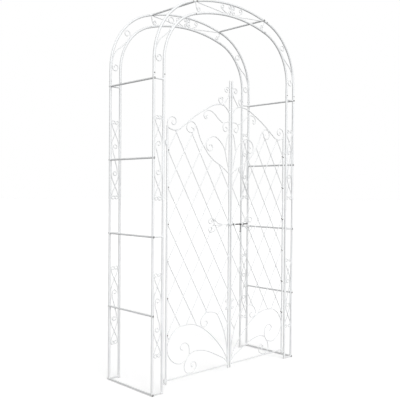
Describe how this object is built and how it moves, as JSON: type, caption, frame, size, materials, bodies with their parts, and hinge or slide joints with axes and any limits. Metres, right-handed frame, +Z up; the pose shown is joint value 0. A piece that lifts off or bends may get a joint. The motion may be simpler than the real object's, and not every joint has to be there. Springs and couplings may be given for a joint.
{
  "type": "garden arch",
  "caption": "White metal garden arch with scrollwork, carrying a pair of lattice gates that open outward and a sliding latch.",
  "frame": {"origin": "on the ground in the middle of the footprint", "axes": "+X to the right seen from the gate side, -Y out of the gate side, +Z up"},
  "size_m": [1.125, 0.4055, 2.0845],
  "materials": {
    "powder_coat": "satin white powder coat over steel",
    "zinc_plate": "bright zinc plate",
    "latch_steel": "darkened steel worn by sliding",
    "plug_plastic": "off-white moulded plastic"
  },
  "bodies": {
    "arch": {"back_crown_inner": "powder_coat", "back_crown_outer": "powder_coat", "back_crown_scrolls": "powder_coat", "back_haunch_scrolls": "powder_coat", "back_left_inner_haunch": "powder_coat", "back_left_inner_post": "powder_coat", "back_left_outer_haunch": "powder_coat", "back_left_outer_post": "powder_coat", "back_left_post_scrolls": "powder_coat", "back_right_inner_haunch": "powder_coat", "back_right_inner_post": "powder_coat", "back_right_outer_haunch": "powder_coat", "back_right_outer_post": "powder_coat", "back_right_post_scrolls": "powder_coat", "back_rungs": "powder_coat", "bar_bolts": "zinc_plate", "bar_inserts": "zinc_plate", "crown_bars": "powder_coat", "foot_plugs": "plug_plastic", "front_crown_inner": "powder_coat", "front_crown_outer": "powder_coat", "front_crown_scrolls": "powder_coat", "front_haunch_scrolls": "powder_coat", "front_left_inner_haunch": "powder_coat", "front_left_inner_post": "powder_coat", "front_left_outer_haunch": "powder_coat", "front_left_outer_post": "powder_coat", "front_left_post_scrolls": "powder_coat", "front_right_inner_haunch": "powder_coat", "front_right_inner_post": "powder_coat", "front_right_outer_haunch": "powder_coat", "front_right_outer_post": "powder_coat", "front_right_post_scrolls": "powder_coat", "front_rungs": "powder_coat", "hinge_pins": "powder_coat", "joint_screws": "zinc_plate", "joint_spigots": "zinc_plate", "left_side_bars": "powder_coat", "right_side_bars": "powder_coat"},
    "left_gate": {"left_gate_bottom_rail": "powder_coat", "left_gate_hinge_stile": "powder_coat", "left_gate_lattice": "powder_coat", "left_gate_lower_scrolls": "powder_coat", "left_gate_meeting_stile": "powder_coat", "left_gate_plugs": "plug_plastic", "left_gate_top_rail": "powder_coat", "left_gate_upper_scrolls": "powder_coat", "left_hinge_eyes": "powder_coat", "left_latch_strap": "powder_coat"},
    "right_gate": {"right_gate_bottom_rail": "powder_coat", "right_gate_hinge_stile": "powder_coat", "right_gate_lattice": "powder_coat", "right_gate_lower_scrolls": "powder_coat", "right_gate_meeting_stile": "powder_coat", "right_gate_plugs": "plug_plastic", "right_gate_top_rail": "powder_coat", "right_gate_upper_scrolls": "powder_coat", "right_hinge_eyes": "powder_coat", "right_latch_strap": "powder_coat"},
    "latch_bolt": {"latch_bolt": "latch_steel"}
  },
  "joints": [
    {"name": "right_gate_hinge", "type": "hinge", "parent": "arch", "child": "right_gate", "pos_m": [0.4747, -0.186, 0.672], "axis": [0, 0, 1], "range_deg": [0, 105]},
    {"name": "left_gate_hinge", "type": "hinge", "parent": "arch", "child": "left_gate", "pos_m": [-0.4747, -0.186, 0.672], "axis": [0, 0, -1], "range_deg": [0, 105]},
    {"name": "latch_slide", "type": "slide", "parent": "right_gate", "child": "latch_bolt", "axis": [-1, 0, 0], "range_m": [0, 0.042]}
  ]
}
